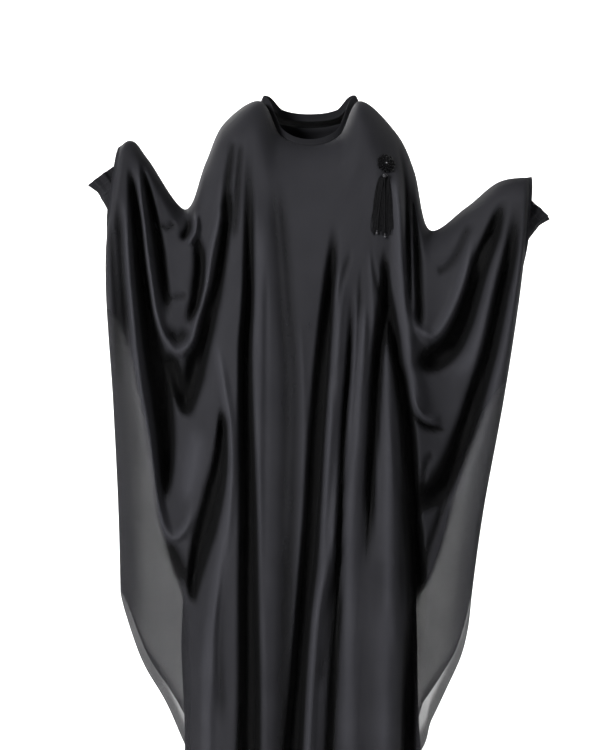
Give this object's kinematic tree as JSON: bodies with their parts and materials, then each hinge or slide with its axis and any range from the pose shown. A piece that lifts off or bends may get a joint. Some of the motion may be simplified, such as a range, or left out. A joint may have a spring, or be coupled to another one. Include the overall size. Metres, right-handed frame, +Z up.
{
  "type": "butterfly abaya",
  "caption": "Floor-length black abaya in worn form: a sheer butterfly cape over an opaque dress with gathered cuffs.",
  "frame": {"origin": "midway between the two points where shoulder seam and neck meet, on the wearer's middle plane", "axes": "+Z up, the front towards -Y, +X towards the wearer's left"},
  "size_m": [0.8621, 0.3744, 1.4483],
  "materials": {
    "cape_cloth": "matt black georgette, slightly see-through where it hangs alone",
    "dress_cloth": "matt black crepe, opaque",
    "trim": "black satin cord and cloth with small dark beads"
  },
  "bodies": {
    "root": {"cape_front": "cape_cloth", "cape_back": "cape_cloth", "neckband": "cape_cloth", "dress_front": "dress_cloth", "dress_back": "dress_cloth", "sleeve_right": "dress_cloth", "sleeve_left": "dress_cloth", "cuff_right": "dress_cloth", "cuff_left": "dress_cloth", "tie_rosette": "trim", "tie_tassel": "trim"}
  },
  "joints": []
}
